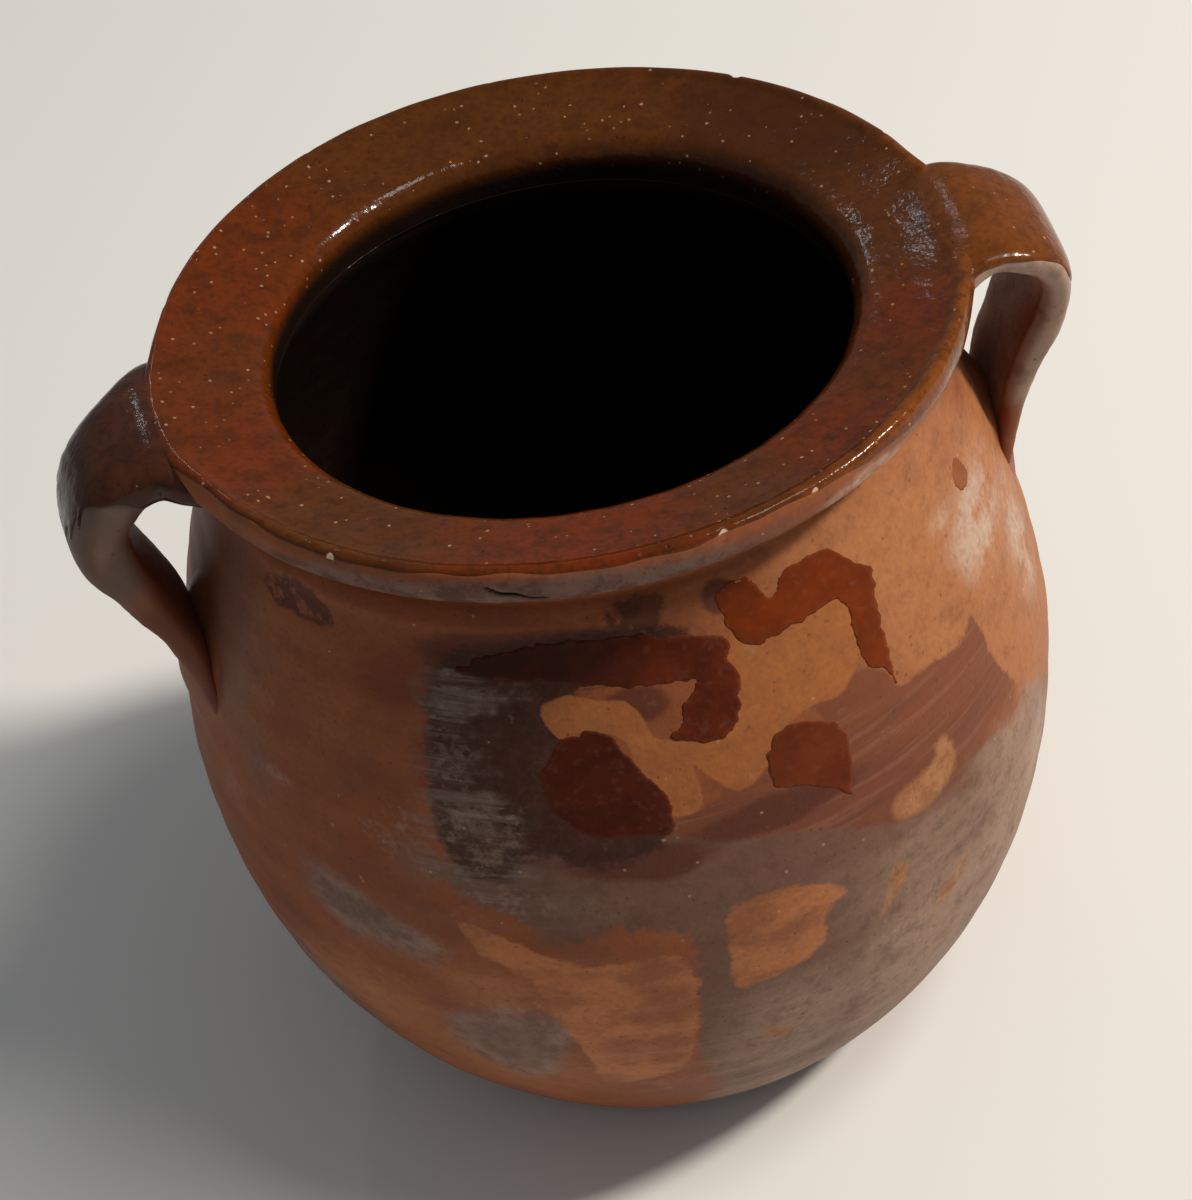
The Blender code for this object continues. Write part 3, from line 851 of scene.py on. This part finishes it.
class Shader:
    """A material's node tree with short ways to add and join nodes."""

    def __init__(self, name):
        self.material = bpy.data.materials.new(name)
        self.material.use_nodes = True
        self.tree = self.material.node_tree
        self.place = self.add("ShaderNodeTexCoord").outputs["Object"]

    def join(self, value, socket):
        if isinstance(value, bpy.types.NodeSocket):
            self.tree.links.new(value, socket)
        else:
            socket.default_value = value

    def add(self, kind, inputs=None, **settings):
        """A new node with its settings, and with its inputs set or joined."""
        node = self.tree.nodes.new(kind)
        for key, value in settings.items():
            setattr(node, key, value)
        for key, value in (inputs or {}).items():
            self.join(value, node.inputs[key])
        return node

    def math(self, operation, first, second, clamp):
        inputs = {0: first, 1: second}
        return self.add("ShaderNodeMath", inputs, operation=operation, use_clamp=clamp).outputs[0]

    def times(self, first, second):
        return self.math("MULTIPLY", first, second, False)

    def plus(self, first, second, clamp=False):
        return self.math("ADD", first, second, clamp)

    def less(self, first, second, clamp=False):
        return self.math("SUBTRACT", first, second, clamp)

    def swing(self, noise, amount):
        """A noise counted from its middle, times an amount."""
        return self.times(self.less(noise, 0.5), amount)

    def mix(self, share, first, second):
        node = self.add("ShaderNodeMix", {"Factor": share}, data_type="RGBA")
        sockets = [socket for socket in node.inputs if socket.type == "RGBA"]
        for colour, socket in zip((first, second), sockets):
            self.join((*colour, 1) if isinstance(colour, tuple) else colour, socket)
        return [socket for socket in node.outputs if socket.type == "RGBA"][0]

    def layered(self, colour, layers):
        """A colour under layers of (colour, mask, strength), the last on top."""
        for layer, mask, strength in layers:
            colour = self.mix(self.times(mask, strength), colour, layer)
        return colour

    def stretched(self, *scale):
        return self.add("ShaderNodeMapping", {"Vector": self.place, "Scale": scale}).outputs[0]

    def noise(self, scale, detail, roughness=0.55, vector=None):
        place = vector or self.place
        inputs = {"Vector": place, "Scale": scale, "Detail": detail, "Roughness": roughness}
        return self.add("ShaderNodeTexNoise", inputs).outputs["Fac"]

    def grains(self, scale, share, size):
        """Scattered grains of uneven shape: a share of the cells have a spot of about the size."""
        ragged = self.noise(scale * 2.4, 2, 0.5)
        cells = self.add("ShaderNodeTexVoronoi", {"Vector": self.place, "Scale": scale}).outputs
        chance = self.add("ShaderNodeSeparateColor", {0: cells["Color"]}).outputs["Red"]
        near = self.plus(cells["Distance"], self.swing(ragged, size * 1.6))
        chosen = self.ramp(chance, 1 - share, 1.02 - share)
        return self.times(self.ramp(near, size, size * 0.55), chosen)

    def ramp(self, value, low, high):
        """0 at low, 1 at high and a smooth step between, with either of them the larger."""
        inputs = {"Value": value, "From Min": low, "From Max": high}
        return self.add("ShaderNodeMapRange", inputs, interpolation_type="SMOOTHSTEP").outputs[0]

    def attribute(self, name):
        return self.add("ShaderNodeAttribute", attribute_name=name).outputs["Fac"]

    def bump(self, height, strength, distance, normal=None):
        inputs = {"Height": height, "Strength": strength, "Distance": distance}
        if normal:
            inputs["Normal"] = normal
        return self.add("ShaderNodeBump", inputs).outputs[0]

    def finish(self, **looks):
        """The material, with its surface's inputs set or joined."""
        surface = self.tree.nodes["Principled BSDF"]
        for key, value in looks.items():
            self.join(value, surface.inputs[key.replace("_", " ")])
        return self.material


# Colours of the wall, as linear red, green and blue
RED_CLAY = (0.238, 0.067, 0.024)
WARM_CLAY = (0.29, 0.09, 0.033)
ORANGE_CLAY = (0.39, 0.15, 0.058)
BROWN_BLOTCH = (0.15, 0.052, 0.03)
BROWN_MOTTLE = (0.17, 0.055, 0.024)
BROWN_STROKE = (0.16, 0.055, 0.028)
RUDDY_BROWN = (0.155, 0.038, 0.017)
GREY_HAZE = (0.19, 0.105, 0.082)
MAUVE = (0.26, 0.175, 0.138)
DARK_MAUVE = (0.15, 0.095, 0.078)
MAUVE_CORE = (0.105, 0.082, 0.066)
TAN = (0.35, 0.118, 0.034)
DARK_TAN = (0.30, 0.10, 0.032)
WASH_BROWN = (0.19, 0.058, 0.026)
DARK_WASH = (0.145, 0.046, 0.026)
WASH_STROKE = (0.27, 0.12, 0.075)
SMOKE_GREY_AND_PAINTED_SHEEN = (0.335, 0.215, 0.15)
DARK_SMOKE = (0.15, 0.077, 0.054)
SMOKE_MOTTLE = (0.085, 0.043, 0.031)
EMBER = (0.46, 0.163, 0.06)
DARK_EMBER = (0.29, 0.098, 0.04)
LEAF_TAN = (0.40, 0.185, 0.078)
DARK_LEAF = (0.30, 0.115, 0.045)
SMUT_AND_PAINTED_SHADE_BROWN = (0.09, 0.025, 0.0145)
SOOT_BLACK = (0.036, 0.0125, 0.0085)
SOOT_BROWN = (0.062, 0.022, 0.015)
SCUFF_BROWN = (0.055, 0.017, 0.0115)
ASH = (0.26, 0.2, 0.166)
CHALK_WHITE = (0.53, 0.385, 0.295)
SMOKE_AND_PAINTED_SHEEN_GREY = (0.165, 0.097, 0.076)
DARK_SMOKE_AND_PAINTED_SHEEN = (0.075, 0.037, 0.028)
CRACK_BLACK = (0.01, 0.005, 0.004)
POWDER = (0.33, 0.215, 0.16)
GRIT_BROWN = (0.06, 0.03, 0.022)
FLECK_BROWN = (0.11, 0.042, 0.026)
GRAIN_BROWN = (0.12, 0.046, 0.028)


def clay_material(name):
    """Smoke-stained terracotta with painted sheen, shade and highlight in places, marked where the
    piece carries marks.
    """
    s = Shader(name)
    broad = s.noise(22, 4, 0.6)
    blotch = s.noise(75, 5, 0.65)
    mottle = s.noise(240, 5, 0.7)
    flecks = s.noise(520, 4, 0.7)
    grain = s.noise(900, 3, 0.6)
    streaks = s.noise(60, 5, 0.7, s.stretched(0.35, 0.35, 5))
    smears = s.noise(40, 4, 0.6, s.stretched(0.4, 0.4, 2.2))
    scratches = s.noise(150, 2, 0.5, s.stretched(0.25, 0.25, 6))
    drawn = s.noise(70, 6, 0.7, s.stretched(0.6, 0.6, 1.6))
    strokes = s.noise(80, 5, 0.65, s.stretched(0.8, 0.8, 1.3))
    shift = s.less(s.plus(blotch, s.times(broad, 0.8)), 0.9)
    ragged = s.less(s.plus(mottle, s.times(flecks, 0.7)), 0.85)
    torn = s.less(streaks, 0.5)
    dark_grit = s.grains(560, 0.2, 0.22)
    pale_grit = s.grains(420, 0.08, 0.15)

    def soft_share(mark, amount, low, high):
        return s.ramp(s.plus(s.attribute(mark), s.times(shift, amount)), low, high)

    def edged(mark, waver, soft, grown=0.0, tearing=0.0, sway=0.0):
        distance = s.plus(s.attribute(mark), s.times(ragged, waver))
        distance = s.plus(distance, s.times(torn, tearing))
        distance = s.plus(distance, s.times(shift, sway))
        return s.ramp(distance, -soft - grown, soft - grown)

    mauve = s.layered(s.mix(s.ramp(mottle, 0.4, 0.65), MAUVE, DARK_MAUVE), [
        (MAUVE_CORE, s.ramp(s.attribute("mauve"), 2, 4.5), 0.5)])
    # The smoked zone: smoke grey, with a painted sheen of light where it is pale.
    paler = s.plus(s.attribute("pale"), s.swing(smears, 1.2))
    smoke = s.layered(s.mix(s.ramp(paler, 0.1, 0.95), DARK_SMOKE, SMOKE_GREY_AND_PAINTED_SHEEN), [
        (SMOKE_MOTTLE, s.ramp(mottle, 0.46, 0.68), 0.45)])
    ember = s.mix(s.ramp(strokes, 0.4, 0.62), EMBER, DARK_EMBER)
    wash = s.layered(s.mix(s.ramp(smears, 0.4, 0.6), WASH_BROWN, DARK_WASH), [
        (WASH_STROKE, s.ramp(scratches, 0.5, 0.66), 0.35)])
    wash_left = s.less(0.95, s.times(soft_share("faded", 0.5, 0.1, 1.0), 0.9), True)
    leaf = s.mix(s.ramp(mottle, 0.4, 0.65), LEAF_TAN, DARK_LEAF)
    # Soot stains, and just under the rim's edge partly painted shade.
    smut_and_painted_shade = s.plus(soft_share("soot", 0.55, 0.25, 0.7), s.times(torn, 0.5))
    soot = s.mix(s.ramp(mottle, 0.45, 0.7), SOOT_BLACK, SOOT_BROWN)
    tan = s.mix(s.ramp(mottle, 0.35, 0.7), TAN, DARK_TAN)
    dusting = s.times(s.ramp(scratches, 0.42, 0.62), s.ramp(flecks, 0.42, 0.62))
    dusting = s.plus(s.times(dusting, 0.35), s.times(s.ramp(drawn, 0.4, 0.65), 0.16))
    dusting = s.plus(dusting, s.times(s.ramp(streaks, 0.5, 0.64), 0.4))
    broken = s.plus(drawn, s.swing(mottle, 0.7))
    # Chalk, and along the foot a painted highlight.
    chalk_and_painted_highlight = s.times(soft_share("chalk_and_painted_highlight", 0.6, 0.25, 0.8), s.ramp(broken, 0.3, 0.6))
    scuff = s.times(edged("scuffed", 3, 0.5, 0, 1.5), s.ramp(mottle, 0.62, 0.52))
    # The rim's band: smoke-stained grey, mottled, with a painted sheen of light.
    smoke_and_painted_sheen = s.mix(s.ramp(mottle, 0.4, 0.65), SMOKE_AND_PAINTED_SHEEN_GREY, DARK_SMOKE_AND_PAINTED_SHEEN)
    powder = s.plus(s.noise(300, 6, 0.75), s.times(soft_share("dusty", 0.8, 0.2, 0.9), 0.16))
    colour = s.layered(s.mix(s.ramp(broad, 0.35, 0.7), RED_CLAY, WARM_CLAY), [
        (BROWN_BLOTCH, s.ramp(blotch, 0.5, 0.32), 0.5),
        (ORANGE_CLAY, soft_share("orange", 0.55, 0.2, 0.8), 1),
        (BROWN_MOTTLE, s.ramp(mottle, 0.5, 0.7), 0.3),
        (BROWN_STROKE, s.ramp(drawn, 0.54, 0.7), 0.4),
        (RUDDY_BROWN, soft_share("ruddy", 0.7, 0.25, 0.8), 0.75),
        (GREY_HAZE, soft_share("haze", 0.7, 0.25, 0.85), 0.6),
        (mauve, edged("mauve", 6, 3, 0.5, 0, 10), 0.8),
        (smoke, edged("smoked", 7, 1.6, 0, 0, 12), 0.93),
        (ember, edged("ember", 3.4, 0.6, 0, 3, 2), 0.88),
        (wash, edged("wash", 2.2, 0.5), wash_left),
        (leaf, edged("leaf", 3, 0.9, 0.3), 0.9),
        (SMUT_AND_PAINTED_SHADE_BROWN, s.ramp(smut_and_painted_shade, 0.15, 0.85), 0.88),
        (soot, edged("sooty", 4.5, 1.0, 0.4, 6), 0.95),
        (tan, edged("tan", 1.4, 0.3, 0.5), 1),
        (ASH, edged("brushed", 5, 2.4, 0.6, 4), dusting),
        (CHALK_WHITE, chalk_and_painted_highlight, 0.8),
        (SCUFF_BROWN, scuff, 0.75),
        (smoke_and_painted_sheen, soft_share("smoke_and_painted_sheen", 0.5, 0.3, 0.7), 0.9),
        (CRACK_BLACK, s.ramp(s.attribute("crack"), 0.12, 0.5), 1),
        (POWDER, s.ramp(powder, 0.6, 0.78), 0.4),
        (GRIT_BROWN, dark_grit, 0.4),
        (CHALK_WHITE, pale_grit, 0.35),
        (FLECK_BROWN, s.ramp(flecks, 0.5, 0.75), 0.35),
        (GRAIN_BROWN, s.less(grain, 0.35, True), 0.6),
    ])
    fine = s.bump(grain, 0.25, 0.0004)
    pits = s.bump(dark_grit, 0.2, -0.0003, fine)
    normal = s.bump(s.plus(blotch, s.times(scratches, 0.3)), 0.3, 0.0006, pits)
    rough = s.plus(s.swing(blotch, 0.3), 0.5)
    return s.finish(Base_Color=colour, Roughness=rough, Normal=normal, Specular_IOR_Level=0.09)


def handle_material(name):
    """Pulled clay of the handles: red-brown, with ash and dark smoke, and painted bounce light on the
    right strap's inner face.
    """
    s = Shader(name)
    broad = s.noise(60, 4, 0.6)
    blotch = s.noise(200, 5, 0.65)
    grain = s.noise(900, 3, 0.6)
    uneven = s.swing(broad, 0.9)
    smoke = s.ramp(s.plus(s.attribute("smoke"), uneven), 0.25, 0.85)
    # Ash, and painted bounce light on the right strap's inner face.
    ash_and_painted_light = s.ramp(s.plus(s.attribute("ash_and_painted_light"), uneven), 0.3, 0.8)
    ashen = s.layered(s.mix(s.attribute("pallor"), (0.08, 0.061, 0.051), (0.36, 0.255, 0.195)), [
        ((0.14, 0.08, 0.055), s.ramp(blotch, 0.45, 0.65), 0.5)])
    colour = s.mix(s.ramp(broad, 0.35, 0.7), (0.22, 0.068, 0.03), (0.29, 0.098, 0.046))
    colour = s.layered(colour, [
        ((0.14, 0.042, 0.022), smoke, 1),
        (ashen, ash_and_painted_light, 0.85),
        ((0.05, 0.02, 0.014), s.grains(480, 0.15, 0.18), 0.5),
    ])
    rough = s.plus(s.swing(blotch, 0.3), 0.5)
    normal = s.bump(s.plus(grain, blotch), 0.25, 0.0004)
    return s.finish(Base_Color=colour, Roughness=rough, Normal=normal, Specular_IOR_Level=0.18)


# Colours of what a glaze can show in places
HONEY = (0.18, 0.049, 0.0075)
SPECK_CREAM = (0.42, 0.23, 0.13)
RAW_CREAM = (0.62, 0.44, 0.30)
PINHOLE_BLACK = (0.02, 0.009, 0.005)
THROAT_BLACK = (0.012, 0.006, 0.004)
GLAZE_CRACK = (0.015, 0.008, 0.006)


def glaze_material(name, red, olive, dark, roughness, speck_share):
    """A brown glaze with pools, specks and pinholes."""
    s = Shader(name)
    pools = s.noise(40, 4, 0.6)
    mottle = s.noise(210, 4, 0.65)
    fine = s.noise(900, 2, 0.5)
    pooled = s.plus(s.attribute("olive"), s.swing(pools, 0.9))
    patchy = s.ramp(s.noise(60, 2), 0.3, 0.55)
    specks = s.times(s.grains(620, 0.24 * speck_share, 0.22), patchy)
    pinholes = s.grains(480, 0.06, 0.15)
    chip = s.ramp(s.plus(s.attribute("chip"), s.times(fine, 0.2)), 0.25, 0.45)
    colour = s.layered(s.mix(s.ramp(pooled, 0, 0.8), red, olive), [
        (dark, s.ramp(pooled, 0.8, 1.5), 0.6),
        (HONEY, s.attribute("honey"), 1),
        (dark, s.ramp(mottle, 0.42, 0.68), 0.55),
        (dark, s.ramp(s.noise(480, 4, 0.7), 0.48, 0.7), 0.5),
        (dark, s.ramp(fine, 0.48, 0.75), 0.42),
        (SPECK_CREAM, specks, 0.75),
        (PINHOLE_BLACK, pinholes, 0.7),
        (THROAT_BLACK, s.attribute("throat"), 1),
        (RAW_CREAM, chip, 1),
        (GLAZE_CRACK, s.ramp(s.attribute("crack"), 0.3, 0.8), 1),
    ])
    rough = s.plus(s.swing(mottle, 0.2), roughness)
    rough = s.plus(rough, s.times(s.plus(specks, chip), 0.3), True)
    skin = s.bump(s.plus(s.noise(260, 3, 0.5), s.times(fine, 0.35)), 0.4, 0.0005)
    pits = s.bump(s.less(specks, pinholes), 0.4, 0.0003, skin)
    return s.finish(Base_Color=colour, Roughness=rough, Normal=pits, Specular_IOR_Level=0.16)


def spill_material(name, film, darker):
    """Thin red-brown glaze, uneven and worn, a little lighter along its edge, sooty in places."""
    s = Shader(name)
    mottle = s.noise(130, 5, 0.7)
    worn = s.noise(600, 3, 0.6)
    sooted = s.plus(s.attribute("sooted"), s.swing(mottle, 0.8))
    soot = s.mix(s.ramp(mottle, 0.42, 0.66), SOOT_BLACK, darker)
    colour = s.layered(s.mix(s.ramp(mottle, 0.36, 0.66), film, darker), [
        ((0.22, 0.062, 0.02), s.ramp(s.attribute("edge"), 0.8, 0.1), 0.15),
        (DARK_SMOKE, s.ramp(worn, 0.54, 0.72), 0.2),
        (soot, s.ramp(sooted, 0, 0.9), 1),
    ])
    rough = s.plus(s.swing(mottle, 0.3), 0.45)
    normal = s.bump(worn, 0.15, 0.0003)
    return s.finish(Base_Color=colour, Roughness=rough, Normal=normal, Specular_IOR_Level=0.05)


def floor_material():
    s = Shader("pale_floor")
    return s.finish(Base_Color=(0.80, 0.785, 0.755, 1), Roughness=0.9, Specular_IOR_Level=0.1)


# The scene

def add_floor():
    half = 3.0
    corners = [(-half, -half, 0), (half, -half, 0), (half, half, 0), (-half, half, 0)]
    floor = new_object("pale_floor", corners, [(0, 1, 2, 3)])
    floor.data.materials.append(floor_material())


def aim(item, place, target):
    item.location = place
    item.rotation_euler = (Vector(target) - Vector(place)).to_track_quat("-Z", "Y").to_euler()


def add_lamp(name, place, size, power, colour):
    lamp = bpy.data.lights.new(name, "AREA")
    lamp.shape = "DISK"
    lamp.size = size
    lamp.energy = power
    lamp.color = colour
    item = bpy.data.objects.new(name, lamp)
    bpy.context.scene.collection.objects.link(item)
    aim(item, place, (0, 0, 0.08))


def add_light():
    add_lamp("key", (1.5, -0.27, 1.58), 0.26, 39, (1.0, 0.93, 0.83))
    add_lamp("second", (0.78, -0.29, 1.88), 0.45, 8.4, (1.0, 0.97, 0.92))
    add_lamp("back", (-0.25, 1.6, 1.32), 0.08, 0.7, (0.78, 0.9, 1.0))
    world = bpy.data.worlds.new("soft_room")
    world.use_nodes = True
    background = world.node_tree.nodes["Background"]
    background.inputs["Color"].default_value = (0.90, 0.96, 1.0, 1)
    background.inputs["Strength"].default_value = 0.23
    bpy.context.scene.world = world


def add_camera():
    forward = Vector(CAMERA_FORWARD).normalized()
    level = forward.cross(Vector((0, 0, 1))).normalized()
    upright = level.cross(forward)
    right = level * math.cos(CAMERA_ROLL) + upright * math.sin(CAMERA_ROLL)
    up = right.cross(forward)
    lens = bpy.data.cameras.new("camera")
    lens.lens = CAMERA_LENS
    lens.sensor_width = CAMERA_SENSOR
    lens.clip_start = 0.01
    item = bpy.data.objects.new("camera", lens)
    turn = Matrix((right, up, -forward)).transposed().to_4x4()
    item.matrix_world = Matrix.Translation(CAMERA_PLACE) @ turn
    bpy.context.scene.collection.objects.link(item)
    bpy.context.scene.camera = item


# Each glaze: its red, its olive and its dark, its roughness and its share of specks
GLAZES = {
    "honey_rim_glaze": (
        (0.138, 0.0215, 0.0022), (0.088, 0.025, 0.0035), (0.043, 0.0115, 0.0025), 0.15, 1.0),
    "dark_lining_glaze": (
        (0.016, 0.009, 0.006), (0.012, 0.0075, 0.005), (0.008, 0.0055, 0.004), 0.2, 0.0),
    "dark_handle_glaze": (
        (0.058, 0.0165, 0.0075), (0.038, 0.0115, 0.0055), (0.018, 0.007, 0.0045), 0.16, 0.3),
    "amber_handle_glaze": (
        (0.16, 0.043, 0.0065), (0.122, 0.034, 0.0055), (0.068, 0.02, 0.004), 0.2, 1.0),
}
# Each film's name, its colour and its darker colour
FILMS = {
    "shoulder_spill": ("shoulder_film", (0.11, 0.018, 0.005), (0.065, 0.011, 0.004)),
    "belly_spill": ("belly_film", (0.075, 0.0125, 0.005), (0.05, 0.009, 0.004)),
    "arch_run": ("arch_film", (0.165, 0.027, 0.004), (0.12, 0.02, 0.0035)),
    "block_run": ("block_film", (0.14, 0.027, 0.007), (0.1, 0.019, 0.0055)),
    "side_droplet": ("droplet_film", (0.26, 0.085, 0.028), (0.20, 0.06, 0.02)),
}


def main():
    bpy.context.scene.view_settings.view_transform = "Standard"
    clay = clay_material("smoked_terracotta")
    strap_clay = handle_material("pulled_terracotta")
    honey, inside, dark, amber = (glaze_material(name, *look) for name, look in GLAZES.items())
    make_body(clay)
    make_lining(inside)
    make_rim(clay)
    make_rim_glaze(honey)
    for side, glaze, slot in (("left", dark, "dark_glaze"), ("right", amber, "honey_glaze")):
        make_strap(side, strap_clay)
        make_strap_glaze(side, glaze)
        make_lutes(side, strap_clay, glaze)
    for name, outline in SPILL_OUTLINES.items():
        make_spill(name, outline, spill_material(*FILMS[name]))
    add_floor()
    add_light()
    add_camera()


main()
